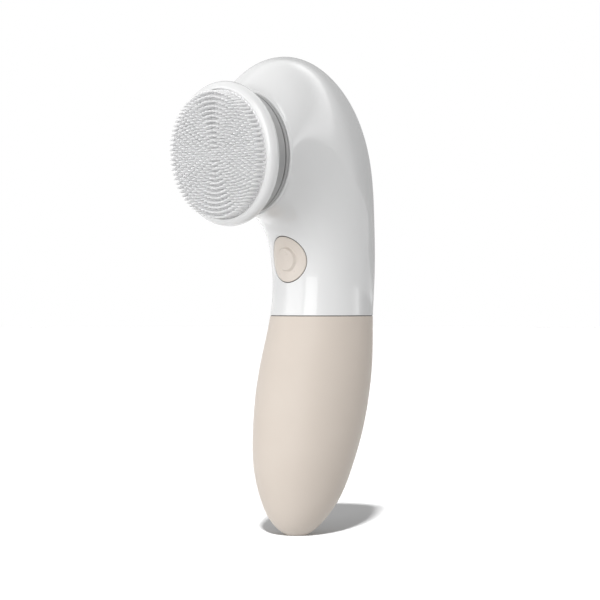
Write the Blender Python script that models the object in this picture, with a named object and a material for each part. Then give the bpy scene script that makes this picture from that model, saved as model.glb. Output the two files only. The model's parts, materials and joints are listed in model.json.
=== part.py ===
"""Facial cleansing brush: gooseneck housing, pull-off battery cover and geared rotary brush head.

Lengths are in millimetres and become metres as each mesh is made. +Z is up, the brush faces -Y,
and the origin is the middle of the small flat foot under the battery cover.
"""
import math

import bmesh
import bpy
from mathutils import Vector

MM = 0.001
GAP = 0.3

# ---- Driving dimensions -------------------------------------------------------------------------

# Body sections from the foot to the brush face. Each is an ellipse: (Y, Z) of its point on the
# front line, (Y, Z) of its point on the back line, and its half width along X.
BODY_SECTIONS = (
    (-3.4, 0.0, 3.4, 0.0, 3.4),
    (-4.8, 0.7, 4.9, 0.7, 4.85),
    (-9.2, 5.0, 10.0, 5.0, 9.6),
    (-12.4, 12.5, 15.9, 12.5, 14.0),
    (-14.5, 23.3, 20.9, 23.3, 17.5),
    (-14.2, 36.0, 25.4, 36.0, 19.6),
    (-12.5, 50.0, 28.8, 50.0, 20.5),
    (-9.4, 64.0, 30.8, 64.0, 20.1),
    (-5.7, 78.8, 31.7, 78.8, 18.7),
    (-4.6, 88.0, 32.4, 88.6, 18.5),
    (-4.9, 97.2, 32.6, 100.0, 18.9),
    (-6.2, 104.4, 31.8, 113.0, 19.7),
    (-8.3, 108.4, 30.2, 127.3, 20.9),
    (-10.9, 111.0, 27.0, 142.1, 21.8),
    (-13.7, 112.4, 20.5, 155.8, 22.2),
    (-16.5, 113.2, 9.8, 166.4, 22.4),
    (-19.0, 113.6, -3.6, 171.4, 22.4),
    (-21.0, 114.0, -16.3, 168.7, 22.3),
    (-22.8, 114.2, -26.6, 158.4, 22.15),
)
SEAM_SECTION = 8
BOSS_SECTION = 18
WALL = 1.8
SEAM_SHIFT = 0.0125
BODY_SEGMENTS = 32

BUTTON_Z = 99.0
BUTTON_RADIUS = 8.1
BUTTON_THICKNESS = 2.0
DOME_HEIGHT = 0.9
DOME_STEPS = ((2.2, 0.88), (3.8, 0.74), (4.6, 0.0))
STEM_RADIUS = 2.0
SWITCH_SIZE = 6.0
PLUNGER_RADIUS = 1.45
BOARD_WIDTH = 16.0

SEAM_COLLAR_INNER = 15.1
SEAM_COLLAR_OUTER = 16.1
SEAM_GROOVE = 15.35
O_RING_RADIUS = 16.05
O_RING_THICKNESS = 0.4

BATTERY_TILT = 9.0
BATTERY_AXIS_Y = 9.0
BATTERY_AXIS_Z = 55.0
CELL_RADIUS = 7.15
CELL_OFFSET = 7.4
CELL_BODY = 49.0
CELL_NUB_RADIUS = 2.75
CELL_NUB = 1.2
CELL_SHIFT = 2.0

GEAR_MODULE = 0.5
OUTPUT_TEETH = 42
COMPOUND_SMALL_TEETH = 12
COMPOUND_LARGE_TEETH = 36
PINION_TEETH = 10
IDLER_Y = GEAR_MODULE * (OUTPUT_TEETH + COMPOUND_SMALL_TEETH) / 2
MOTOR_Y = IDLER_Y - GEAR_MODULE * (COMPOUND_LARGE_TEETH + PINION_TEETH) / 2
POSTS = ((-13.0, -6.0), (13.0, -6.0), (-12.0, 10.5), (12.0, 10.5))
MOTOR_SCREW_X = 5.5

WHITE = (0.86, 0.86, 0.85)
BEIGE = (0.76, 0.67, 0.59)
GREY = (0.3, 0.3, 0.3)


# ---- Mesh helpers -------------------------------------------------------------------------------

def clear_scene():
    for old in list(bpy.data.objects):
        bpy.data.objects.remove(old, do_unlink=True)


def material(name, colour, roughness, metallic=0.0):
    found = bpy.data.materials.get(name)
    if found:
        return found
    made = bpy.data.materials.new(name)
    made.use_nodes = True
    shader = made.node_tree.nodes["Principled BSDF"]
    shader.inputs["Base Color"].default_value = (*colour, 1.0)
    shader.inputs["Roughness"].default_value = roughness
    shader.inputs["Metallic"].default_value = metallic
    return made


def empty_frame(name, place, pitch_deg):
    """An empty at place, turned by pitch_deg about X, that its pieces are parented to."""
    made = bpy.data.objects.new(name, None)
    made.location = Vector(place) * MM
    made.rotation_euler = (math.radians(pitch_deg), 0.0, 0.0)
    bpy.context.collection.objects.link(made)
    return made


def finish(name, mesh_builder, finish_material, parent=None, place=(0.0, 0.0, 0.0)):
    """Turn a closed bmesh in millimetres into a named object with outward faces."""
    bmesh.ops.recalc_face_normals(mesh_builder, faces=mesh_builder.faces[:])
    bmesh.ops.scale(mesh_builder, vec=(MM, MM, MM), verts=mesh_builder.verts[:])
    mesh = bpy.data.meshes.new(name)
    mesh_builder.to_mesh(mesh)
    mesh_builder.free()
    mesh.shade_smooth()
    mesh.set_sharp_from_angle(angle=math.radians(35.0))
    mesh.materials.append(finish_material)
    made = bpy.data.objects.new(name, mesh)
    made.location = Vector(place) * MM
    made.parent = parent
    bpy.context.collection.objects.link(made)
    return made


def join_rings(mesh_builder, rings, closed=False):
    """Skin a list of vertex rings. A ring of one vertex is a pole."""
    pairs = list(zip(rings, rings[1:]))
    if closed:
        pairs.append((rings[-1], rings[0]))
    for low, high in pairs:
        count = max(len(low), len(high))
        for i in range(count):
            j = (i + 1) % count
            if len(low) == 1:
                mesh_builder.faces.new((low[0], high[i], high[j]))
            elif len(high) == 1:
                mesh_builder.faces.new((low[i], low[j], high[0]))
            else:
                mesh_builder.faces.new((low[i], low[j], high[j], high[i]))


def turned(name, profile, finish_material, parent=None, place=(0.0, 0.0, 0.0), segments=24):
    """Revolve a profile of (radius, z) points about Z. It is a closed loop, or ends in two poles."""
    builder = bmesh.new()
    rings = []
    for radius, z in profile:
        if radius == 0.0:
            rings.append([builder.verts.new((0.0, 0.0, z))])
            continue
        ring = []
        for i in range(segments):
            angle = 2.0 * math.pi * i / segments
            ring.append(builder.verts.new((radius * math.cos(angle), radius * math.sin(angle), z)))
        rings.append(ring)
    has_poles = profile[0][0] == 0.0
    join_rings(builder, rings, closed=not has_poles)
    return finish(name, builder, finish_material, parent, place)


def circle(radius, count=16, centre=(0.0, 0.0), phase=0.0, squash=1.0):
    points = []
    for i in range(count):
        angle = 2.0 * math.pi * i / count + phase
        x = centre[0] + radius * math.cos(angle)
        y = centre[1] + radius * squash * math.sin(angle)
        points.append((x, y))
    return points


def rounded_box(x_low, x_high, y_low, y_high, radius, corner_points=4):
    points = []
    corners = ((x_high, y_high, 0), (x_low, y_high, 1), (x_low, y_low, 2), (x_high, y_low, 3))
    for x, y, quarter in corners:
        middle_x = x - math.copysign(radius, x - (x_low + x_high) / 2)
        middle_y = y - math.copysign(radius, y - (y_low + y_high) / 2)
        for i in range(corner_points):
            angle = math.pi / 2 * (quarter + i / (corner_points - 1))
            points.append((middle_x + radius * math.cos(angle), middle_y + radius * math.sin(angle)))
    return points


def arc_band(r_inner, r_outer, half_angle, middle_angle, count=8):
    """Outline of a curved bar, such as a magnet or an open clip."""
    outer = []
    inner = []
    for i in range(count + 1):
        angle = middle_angle - half_angle + 2.0 * half_angle * i / count
        outer.append((r_outer * math.cos(angle), r_outer * math.sin(angle)))
        inner.append((r_inner * math.cos(angle), r_inner * math.sin(angle)))
    return outer + inner[::-1]


def gear_outline(teeth, tooth_angle):
    """Trapezoid teeth on the module, slim enough to run with backlash."""
    pitch_radius = GEAR_MODULE * teeth / 2
    root = pitch_radius - 1.15 * GEAR_MODULE
    tip = pitch_radius + 0.85 * GEAR_MODULE
    step = 2.0 * math.pi / teeth
    points = []
    for i in range(teeth):
        middle = tooth_angle + i * step
        for radius, offset in ((root, -0.25), (tip, -0.10), (tip, 0.10), (root, 0.25)):
            angle = middle + offset * step
            points.append((radius * math.cos(angle), radius * math.sin(angle)))
    return points


def stacked(name, layers, finish_material, holes=(), parent=None, place=(0.0, 0.0, 0.0)):
    """Extrude layers of (outline, z_low, z_high), each inside or around the next, with holes."""
    builder = bmesh.new()

    def loop(points, z):
        verts = [builder.verts.new((x, y, z)) for x, y in points]
        edges = [builder.edges.new((verts[i - 1], verts[i])) for i in range(len(verts))]
        return verts, edges

    def fill(edges):
        bmesh.ops.triangle_fill(builder, use_beauty=True, edges=edges, normal=(0.0, 0.0, 1.0))

    z_start = layers[0][1]
    z_end = layers[-1][2]
    hole_low = [loop(points, z_start) for points in holes]
    hole_high = [loop(points, z_end) for points in holes]
    for low, high in zip(hole_low, hole_high):
        join_rings(builder, [low[0], high[0]])
    open_edges = []
    for low in hole_low:
        open_edges += low[1]
    for outline, z_low, z_high in layers:
        low_verts, low_edges = loop(outline, z_low)
        fill(open_edges + low_edges)
        high_verts, high_edges = loop(outline, z_high)
        join_rings(builder, [low_verts, high_verts])
        open_edges = high_edges
    for high in hole_high:
        open_edges = open_edges + high[1]
    fill(open_edges)
    return finish(name, builder, finish_material, parent, place)


def solid_group(name, outlines, z_low, z_high, parent=None, place=(0.0, 0.0, 0.0)):
    """A cutter or a filler of one or more separate prisms, which no boolean leaves standing."""
    builder = bmesh.new()
    for outline in outlines:
        low = [builder.verts.new((x, y, z_low)) for x, y in outline]
        high = [builder.verts.new((x, y, z_high)) for x, y in outline]
        join_rings(builder, [low, high])
        builder.faces.new(low[::-1])
        builder.faces.new(high)
    made = finish(name, builder, material("guide", WHITE, 0.5), parent, place)
    made.hide_render = True
    made.display_type = "WIRE"
    return made


def combine(target, tool, operation):
    modifier = target.modifiers.new(operation.lower() + "_" + tool.name, "BOOLEAN")
    modifier.operation = operation
    modifier.solver = "EXACT"
    modifier.object = tool


def smooth_path(points, pieces=5):
    """Points on a smooth curve through the given ones."""
    route = [Vector(p) for p in points]
    result = []
    for i in range(len(route) - 1):
        before = route[max(i - 1, 0)]
        after = route[min(i + 2, len(route) - 1)]
        start_slope = (route[i + 1] - before) / 2
        end_slope = (after - route[i]) / 2
        for k in range(pieces):
            f = k / pieces
            result.append(
                (2 * f ** 3 - 3 * f ** 2 + 1) * route[i]
                + (f ** 3 - 2 * f ** 2 + f) * start_slope
                + (3 * f ** 2 - 2 * f ** 3) * route[i + 1]
                + (f ** 3 - f ** 2) * end_slope
            )
    result.append(route[-1])
    return result


def wire(name, points, radius, finish_material, parent=None, resolution=1):
    curve = bpy.data.curves.new(name, "CURVE")
    curve.dimensions = "3D"
    curve.bevel_depth = radius * MM
    curve.bevel_resolution = resolution
    curve.use_fill_caps = True
    spline = curve.splines.new("POLY")
    spline.points.add(len(points) - 1)
    for spot, point in zip(spline.points, points):
        spot.co = (*(Vector(point) * MM), 1.0)
    curve.materials.append(finish_material)
    made = bpy.data.objects.new(name, curve)
    made.parent = parent
    bpy.context.collection.objects.link(made)
    return made


# ---- The body's surface -------------------------------------------------------------------------

def body_section(t):
    """The section at station t, smoothly between the listed ones."""
    last = len(BODY_SECTIONS) - 1
    i = min(int(t), last - 1)
    f = t - i
    here = BODY_SECTIONS[i]
    there = BODY_SECTIONS[i + 1]
    before = BODY_SECTIONS[i - 1] if i > 0 else None
    after = BODY_SECTIONS[i + 2] if i + 2 <= last else None
    values = []
    for k in range(len(here)):
        slope_here = (there[k] - before[k]) / 2 if before else there[k] - here[k]
        slope_there = (after[k] - here[k]) / 2 if after else there[k] - here[k]
        values.append(
            (2 * f ** 3 - 3 * f ** 2 + 1) * here[k]
            + (f ** 3 - 2 * f ** 2 + f) * slope_here
            + (3 * f ** 2 - 2 * f ** 3) * there[k]
            + (f ** 3 - f ** 2) * slope_there
        )
    return values


def section_ellipse(t, inset=0.0):
    """Centre, half length vector in the YZ plane and half width of the section at t."""
    front_y, front_z, back_y, back_z, half_width = body_section(t)
    centre = Vector((0.0, (front_y + back_y) / 2, (front_z + back_z) / 2))
    reach = Vector((0.0, (back_y - front_y) / 2, (back_z - front_z) / 2))
    reach -= reach.normalized() * inset
    return centre, reach, half_width - inset


def section_ring(builder, t, inset=0.0):
    centre, reach, half_width = section_ellipse(t, inset)
    ring = []
    for i in range(BODY_SEGMENTS):
        angle = 2.0 * math.pi * i / BODY_SEGMENTS
        side = Vector((half_width * math.sin(angle), 0.0, 0.0))
        ring.append(builder.verts.new(centre + side - reach * math.cos(angle)))
    return ring


def skin_y(x, z):
    """Y of the housing's front surface at a point near the button."""
    low = SEAM_SECTION
    high = SEAM_SECTION + 5
    for _ in range(40):
        t = (low + high) / 2
        centre, reach, half_width = section_ellipse(t)
        cosine = math.sqrt(1.0 - (x / half_width) ** 2)
        if centre.z - reach.z * cosine < z:
            low = t
        else:
            high = t
    return centre.y - reach.y * cosine


# ---- Housing and cover --------------------------------------------------------------------------

def make_upper_housing():
    builder = bmesh.new()
    start = SEAM_SECTION + SEAM_SHIFT
    stations = [start, start + 0.45]
    stations += [SEAM_SECTION + 1 + 0.5 * i for i in range(2 * (BOSS_SECTION - SEAM_SECTION) - 1)]
    outer = [section_ring(builder, t) for t in stations]
    inner = [section_ring(builder, t, WALL) for t in stations]
    join_rings(builder, outer + inner[::-1], closed=True)
    housing = finish("upper_housing", builder, material("white_gloss", WHITE, 0.16))
    aim = empty_frame("button_frame", (0.0, 0.0, BUTTON_Z), -90.0)
    hole = [circle(BUTTON_RADIUS + GAP, 32)]
    cutter = solid_group("button_hole_cutter", hole, -12.0, 6.0, parent=aim)
    combine(housing, cutter, "DIFFERENCE")


def make_battery_cover():
    builder = bmesh.new()
    rim = SEAM_SECTION - SEAM_SHIFT
    outer_stations = [0.0, 0.5, 1.0, 1.5, 2.0, 2.5, 3.0, 4.0, 5.0, 6.0, 7.0, 7.5, rim]
    inner_stations = [2.0, 3.0, 4.0, 5.0, 6.0, 7.0, rim]
    outer = [section_ring(builder, t) for t in outer_stations]
    inner = [section_ring(builder, t, WALL) for t in inner_stations]
    join_rings(builder, outer + inner[::-1])
    builder.faces.new(outer[0])
    builder.faces.new(inner[0])
    finish("battery_cover", builder, material("beige_soft_touch", BEIGE, 0.55))


def make_power_button():
    """A round plate that follows the housing's skin, with a low dome in front and a stem behind."""
    builder = bmesh.new()
    segments = 24

    def disc_ring(radius, depth):
        """A ring that lies at a depth below the housing's skin."""
        ring = []
        for x, height in circle(radius, segments):
            z = BUTTON_Z + height
            ring.append(builder.verts.new((x, skin_y(x, z) + depth, z)))
        return ring

    def flat_ring(radius, y):
        return [builder.verts.new((x, y, BUTTON_Z + height)) for x, height in circle(radius, segments)]

    nose = builder.verts.new((0.0, skin_y(0.0, BUTTON_Z) - DOME_HEIGHT, BUTTON_Z))
    heel = builder.verts.new((0.0, 0.0, BUTTON_Z))
    rings = [[nose]]
    rings += [disc_ring(radius, -rise) for radius, rise in DOME_STEPS]
    rings += [disc_ring(6.4, 0.0), disc_ring(BUTTON_RADIUS, 0.0)]
    rings += [disc_ring(BUTTON_RADIUS, BUTTON_THICKNESS), disc_ring(STEM_RADIUS, BUTTON_THICKNESS)]
    rings += [flat_ring(STEM_RADIUS, 0.0), [heel]]
    join_rings(builder, rings)
    finish("power_button", builder, material("beige_button", BEIGE, 0.35))


# ---- Controls -----------------------------------------------------------------------------------

def make_controls():
    """Gasket, switch, plunger and board, stacked behind the button along +Y."""
    behind = empty_frame("control_frame", (0.0, 0.0, BUTTON_Z), -90.0)
    silicone = material("grey_silicone", (0.55, 0.55, 0.55), 0.6)
    stacked("button_gasket", [(circle(9.3, 24), 0.5, 1.3)], silicone, [circle(2.4, 24)], behind)
    black = material("black_plastic", (0.03, 0.03, 0.03), 0.4)
    half = SWITCH_SIZE / 2
    body = rounded_box(-half, half, -half, half, 0.4, 2)
    switch = stacked("tact_switch", [(body, 2.1, 5.7)], black, parent=behind)
    hole = [circle(PLUNGER_RADIUS + GAP, 16)]
    bore = solid_group("plunger_bore_cutter", hole, 1.0, 4.9, parent=behind)
    combine(switch, bore, "DIFFERENCE")
    bevelled = PLUNGER_RADIUS - 0.25
    plunger = [(0.0, 0.3), (bevelled, 0.3), (PLUNGER_RADIUS, 0.6), (PLUNGER_RADIUS, 3.7), (0.0, 3.7)]
    nylon = material("natural_nylon", (0.8, 0.78, 0.7), 0.5)
    turned("switch_plunger", plunger, nylon, behind, segments=16)
    board = rounded_box(-BOARD_WIDTH / 2, BOARD_WIDTH / 2, -13.0, 12.0, 1.5, 3)
    green = material("green_board", (0.03, 0.22, 0.09), 0.4)
    stacked("control_pcb", [(board, 6.0, 7.6)], green, parent=behind)


# ---- Batteries ----------------------------------------------------------------------------------

def make_seam_parts():
    """The collar that the cover's rim closes round, and its O-ring. Both are level with the seam."""
    centre, _, _ = section_ellipse(SEAM_SECTION)
    place = (0.0, centre.y, centre.z)
    profile = [
        (SEAM_COLLAR_INNER, -4.2), (SEAM_COLLAR_OUTER, -4.2), (SEAM_COLLAR_OUTER, -2.9),
        (SEAM_GROOVE, -2.9), (SEAM_GROOVE, -1.7), (SEAM_COLLAR_OUTER, -1.7),
        (SEAM_COLLAR_OUTER, 2.0), (SEAM_COLLAR_INNER, 2.0),
    ]
    turned("battery_bay_collar", profile, material("inner_white", WHITE, 0.45), place=place, segments=28)
    section = [(O_RING_RADIUS + dx, -2.3 + dz) for dx, dz in circle(O_RING_THICKNESS, 5)]
    rubber = material("black_rubber", (0.02, 0.02, 0.02), 0.7)
    turned("seam_o_ring", section, rubber, place=place, segments=28)


def make_cell(name, side, up, parent):
    """A round cell whose raised contact points up or down."""
    top = CELL_BODY / 2
    profile = [
        (0.0, -top), (CELL_RADIUS - 0.6, -top), (CELL_RADIUS, -top + 0.6), (CELL_RADIUS, top - 0.6),
        (CELL_RADIUS - 0.6, top), (CELL_NUB_RADIUS, top), (CELL_NUB_RADIUS, top + CELL_NUB),
        (0.0, top + CELL_NUB),
    ]
    turned_profile = [(radius, up * z) for radius, z in profile]
    place = (side * CELL_OFFSET, 0.0, up * CELL_SHIFT)
    sleeve = material("cell_sleeve", (0.12, 0.13, 0.15), 0.35, 0.4)
    turned(name, turned_profile, sleeve, parent, place, 20)


def make_spring(name, x, z_low, z_high, parent):
    """A conical contact spring, wide at the end away from its cell's face."""
    turns = 4
    steps = 8 * turns
    wide = 3.9
    narrow = 2.5
    wide_end_up = z_high > 0.0
    points = []
    for i in range(steps + 1):
        f = i / steps
        angle = 2.0 * math.pi * turns * f
        widening = f if wide_end_up else 1.0 - f
        radius = narrow + (wide - narrow) * widening
        height = z_low + (z_high - z_low) * f
        points.append((x + radius * math.cos(angle), radius * math.sin(angle), height))
    wire(name, points, 0.3, material("spring_steel", (0.62, 0.6, 0.56), 0.3, 1.0), parent, 0)


def make_battery_bay():
    tilt = empty_frame("battery_frame", (0.0, BATTERY_AXIS_Y, BATTERY_AXIS_Z), -BATTERY_TILT)
    plastic = material("inner_white", WHITE, 0.45)
    plate = circle(15.0, 32, squash=9.5 / 15.0)
    carrier = stacked("battery_carrier", [(plate, 28.8, 30.4)], plastic, parent=tilt)
    webs = [rounded_box(-2.0, 2.0, 6.0, 9.0, 0.5, 2), rounded_box(-2.0, 2.0, -9.0, -6.0, 0.5, 2)]
    combine(carrier, solid_group("carrier_webs", webs, -29.6, 29.6, parent=tilt), "UNION")
    combine(carrier, solid_group("carrier_foot_plate", [plate], -30.3, -28.8, parent=tilt), "UNION")
    make_cell("battery_cell_left", -1, 1, tilt)
    make_cell("battery_cell_right", 1, -1, tilt)
    nickel = material("nickel_plate", (0.7, 0.69, 0.66), 0.25, 1.0)
    tab = rounded_box(-11.4, -3.4, -3.6, 3.6, 1.0, 3)
    bridge = rounded_box(-11.4, 11.4, -3.6, 3.6, 1.0, 3)
    stacked("contact_positive", [(tab, 28.0, 28.4)], nickel, parent=tilt)
    stacked("contact_bridge", [(bridge, -28.45, -28.05)], nickel, parent=tilt)
    make_spring("contact_spring_upper", CELL_OFFSET, 23.1, 28.2, tilt)
    make_spring("contact_spring_lower", -CELL_OFFSET, -27.5, -23.1, tilt)


# ---- Leads --------------------------------------------------------------------------------------

def make_leads():
    for side, pole, colour in ((-1, "positive", (0.6, 0.03, 0.03)), (1, "negative", (0.02, 0.02, 0.02))):
        insulation = material("lead_" + pole, colour, 0.5)
        battery_route = [
            (side * 7.4, 10.9, 86.7), (side * 7.8, 11.3, 89.0),
            (side * 7.2, 10.9, 91.6), (side * 6.0, 8.3, 92.2),
        ]
        motor_route = [
            (side * 3.0, 8.3, 108.0), (side * 3.2, 11.5, 108.6),
            (side * 4.2, 18.0, 113.0), (side * 5.6, 22.6, 121.0),
            (side * 6.2, 23.8, 131.0), (side * 6.0, 22.6, 138.5), (side * 6.0, 20.0, 142.0),
        ]
        wire("battery_lead_" + pole, smooth_path(battery_route, 3), 0.6, insulation)
        wire("motor_lead_" + pole, smooth_path(motor_route, 3), 0.6, insulation)


# ---- Brush drive. In the head's frame +Z points out of the brush face and 0 is the boss plane ----

def screw_profile(head_radius, head_height, shank_radius, shank_length):
    """A pan head below z = 0 with a blind socket, and a shank above it."""
    return [
        (0.0, -head_height * 0.45), (shank_radius * 0.7, -head_height * 0.45),
        (shank_radius * 0.8, -head_height), (head_radius * 0.8, -head_height),
        (head_radius, -head_height * 0.55), (head_radius, 0.0),
        (shank_radius, 0.0), (shank_radius, shank_length), (0.0, shank_length),
    ]


def make_front_plate(head):
    plastic = material("inner_white", WHITE, 0.45)
    bush_bore = 4.35
    seal_bore = 6.6
    plate = [
        (bush_bore, -4.6), (seal_bore, -4.6), (seal_bore, -2.8), (19.2, -2.8),
        (19.2, -0.2), (seal_bore, -0.2), (seal_bore, -1.5), (bush_bore, -1.5),
    ]
    turned("front_plate", plate, plastic, head, segments=28)
    collar = [(15.5, 0.3), (21.2, 0.3), (21.7, 0.7), (21.7, 1.4), (21.5, 1.6), (15.5, 1.6)]
    turned("collar_ring", collar, material("grey_trim", GREY, 0.35), head, segments=32)
    bush = [(2.75, -4.7), (4.05, -4.7), (4.05, -1.8), (2.75, -1.8)]
    bronze = material("sintered_bronze", (0.45, 0.3, 0.15), 0.5, 1.0)
    turned("spindle_bush", bush, bronze, head, segments=18)
    seal = [(2.85, -1.1), (6.2, -1.1), (6.2, 0.1), (4.4, 0.1), (3.9, -0.5), (2.85, -0.5)]
    rubber = material("black_rubber", (0.02, 0.02, 0.02), 0.7)
    turned("shaft_seal", seal, rubber, head, segments=20)


def make_gearbox_frame(head):
    """A back plate with four posts that screw up against the front plate."""
    outline = rounded_box(-15.4, 15.4, -8.6, 17.2, 3.0, 4)
    acetal = material("natural_acetal", (0.78, 0.77, 0.72), 0.45)
    frame = stacked("gearbox_frame", [(outline, -14.4, -12.8)], acetal, parent=head)
    posts = [circle(2.3, 16, spot) for spot in POSTS]
    combine(frame, solid_group("gearbox_posts", posts, -13.6, -3.1, parent=head), "UNION")
    bores = [circle(1.2, 12, spot) for spot in POSTS]
    bores += [circle(1.1, 12, (side * MOTOR_SCREW_X, MOTOR_Y)) for side in (-1, 1)]
    bores.append(circle(3.2, 16, (0.0, MOTOR_Y)))
    combine(frame, solid_group("gearbox_bores", bores, -16.0, -2.0, parent=head), "DIFFERENCE")
    steel = material("screw_steel", (0.55, 0.55, 0.55), 0.3, 1.0)
    for number, (x, y) in enumerate(POSTS, 1):
        profile = screw_profile(2.0, 1.3, 0.9, 8.0)
        turned("gearbox_screw_%d" % number, profile, steel, head, (x, y, -14.7), 8)
    for number, side in enumerate((-1, 1), 1):
        profile = [(radius, -z) for radius, z in screw_profile(1.5, 0.9, 0.8, 1.8)]
        place = (side * MOTOR_SCREW_X, MOTOR_Y, -12.5)
        turned("motor_screw_%d" % number, profile, steel, head, place, 8)
    pin = [(0.0, -12.5), (1.0, -12.5), (1.0, -3.1), (0.0, -3.1)]
    turned("idler_pin", pin, steel, head, (0.0, IDLER_Y, 0.0), 16)


def make_gears(head):
    up = math.pi / 2
    nylon = material("gear_acetal", (0.82, 0.8, 0.74), 0.4)
    output = gear_outline(OUTPUT_TEETH, up)
    stacked("output_gear", [(output, -8.2, -5.2)], nylon, [circle(2.8, 12)], head)
    large = gear_outline(COMPOUND_LARGE_TEETH, up + math.pi / COMPOUND_LARGE_TEETH)
    small = gear_outline(COMPOUND_SMALL_TEETH, up + math.pi / COMPOUND_SMALL_TEETH)
    layers = [(large, -12.1, -9.7), (small, -9.7, -4.9)]
    stacked("compound_gear", layers, nylon, [circle(1.25, 12)], head, (0.0, IDLER_Y, 0.0))
    pinion = gear_outline(PINION_TEETH, up)
    brass = material("pinion_brass", (0.75, 0.55, 0.25), 0.3, 1.0)
    place = (0.0, MOTOR_Y, 0.0)
    stacked("motor_pinion", [(pinion, -12.3, -9.5)], brass, [circle(1.3, 10)], head, place)


def make_motor(head):
    place = (0.0, MOTOR_Y, 0.0)
    steel = material("motor_can_steel", (0.6, 0.6, 0.6), 0.35, 1.0)
    can = [(1.6, -14.7), (9.8, -14.7), (9.8, -38.0), (9.0, -38.0), (9.0, -15.5), (1.6, -15.5)]
    turned("motor_can", can, steel, head, place, 24)
    cap = [(0.0, -40.3), (9.8, -40.3), (9.8, -38.3), (8.6, -38.3), (8.6, -37.0), (0.0, -37.0)]
    turned("motor_end_cap", cap, material("black_plastic", (0.03, 0.03, 0.03), 0.4), head, place, 24)
    ferrite = material("ferrite", (0.09, 0.09, 0.1), 0.7)
    brass = material("terminal_brass", (0.75, 0.58, 0.3), 0.3, 1.0)
    for number, middle in enumerate((math.pi, 0.0), 1):
        magnet = arc_band(7.0, 8.7, math.radians(58.0), middle)
        stacked("motor_magnet_%d" % number, [(magnet, -34.0, -17.0)], ferrite, (), head, place)
        side = math.copysign(1.0, math.cos(middle))
        tab = rounded_box(side * 6.0 - 1.2, side * 6.0 + 1.2, -0.25, 0.25, 0.1, 2)
        stacked("motor_terminal_%d" % number, [(tab, -43.6, -40.6)], brass, (), head, place)
    pole_outline = ((6.6, -46), (6.6, -23), (6.6, 0), (6.6, 23), (6.6, 46), (5.4, 50), (3.6, 60), (5.4, 70))
    poles = []
    for pole in range(3):
        middle = 2.0 * math.pi * pole / 3
        for radius, degrees in pole_outline:
            angle = middle + math.radians(degrees)
            poles.append((radius * math.cos(angle), radius * math.sin(angle)))
    layers = [(circle(2.6, 12), -36.6, -34.0), (poles, -34.0, -18.0)]
    copper = material("armature_copper", (0.5, 0.25, 0.12), 0.4, 0.8)
    stacked("motor_rotor", layers, copper, [circle(1.3, 10)], head, place)
    shaft = [(0.0, -36.7), (1.0, -36.7), (1.0, -9.2), (0.0, -9.2)]
    shaft_steel = material("screw_steel", (0.55, 0.55, 0.55), 0.3, 1.0)
    turned("motor_shaft", shaft, shaft_steel, head, place, 12)


def make_spindle(head):
    round_part = circle(2.5, 18)
    key_part = circle(2.35, 6)
    steel = material("spindle_steel", (0.62, 0.62, 0.62), 0.25, 1.0)
    stacked("spindle_shaft", [(round_part, -8.6, 1.9), (key_part, 1.9, 9.0)], steel, parent=head)
    clip = arc_band(2.8, 4.4, math.radians(150.0), -math.pi / 2, 18)
    stacked("retaining_clip", [(clip, 0.5, 1.1)], steel, parent=head)


def make_brush_head(head):
    """The part that pulls off: rim cup, its grey skirt ring, keyed hub and the bristle pad's shape."""
    cup = [
        (20.2, 2.1), (20.9, 2.1), (20.9, 5.5), (21.9, 5.5), (22.5, 6.6), (24.2, 7.8), (25.2, 8.6),
        (25.4, 9.6), (25.1, 10.9), (24.4, 12.0), (23.4, 12.6), (22.7, 12.5), (22.7, 11.0),
        (20.9, 11.0), (20.9, 9.0), (20.2, 7.0),
    ]
    turned("brush_cup", cup, material("white_gloss", WHITE, 0.16), head, segments=32)
    skirt = [(21.0, 2.1), (21.5, 2.1), (21.7, 2.4), (21.8, 5.4), (21.0, 5.4)]
    turned("skirt_ring", skirt, material("grey_trim", GREY, 0.35), head, segments=32)
    key_hole = circle(2.7, 6)
    layers = [(circle(5.2, 24), 2.2, 9.2), (circle(20.5, 28), 9.2, 10.8)]
    stacked("brush_hub", layers, material("inner_white", WHITE, 0.45), [key_hole], head)
    pad = [(0.0, 11.2), (22.3, 11.2), (22.3, 12.6), (22.6, 16.2), (22.3, 17.2), (0.0, 17.2)]
    turned("bristle_pad", pad, material("clear_silicone", (0.82, 0.82, 0.82), 0.45), head, segments=32)


def make_head():
    boss = body_section(BOSS_SECTION)
    middle = (0.0, (boss[0] + boss[2]) / 2, (boss[1] + boss[3]) / 2)
    pitch = math.degrees(math.atan2(boss[0] - boss[2], boss[3] - boss[1]))
    head = empty_frame("head_frame", middle, 90.0 + pitch)
    make_front_plate(head)
    make_gearbox_frame(head)
    make_gears(head)
    make_motor(head)
    make_spindle(head)
    make_brush_head(head)


clear_scene()
make_upper_housing()
make_battery_cover()
make_power_button()
make_controls()
make_seam_parts()
make_battery_bay()
make_leads()
make_head()
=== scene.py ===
"""Looks of the facial cleansing brush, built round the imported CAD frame.

Body shapes are worked out in millimetres and become metres as each mesh is made.
"""

import json
import math
import random

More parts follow.
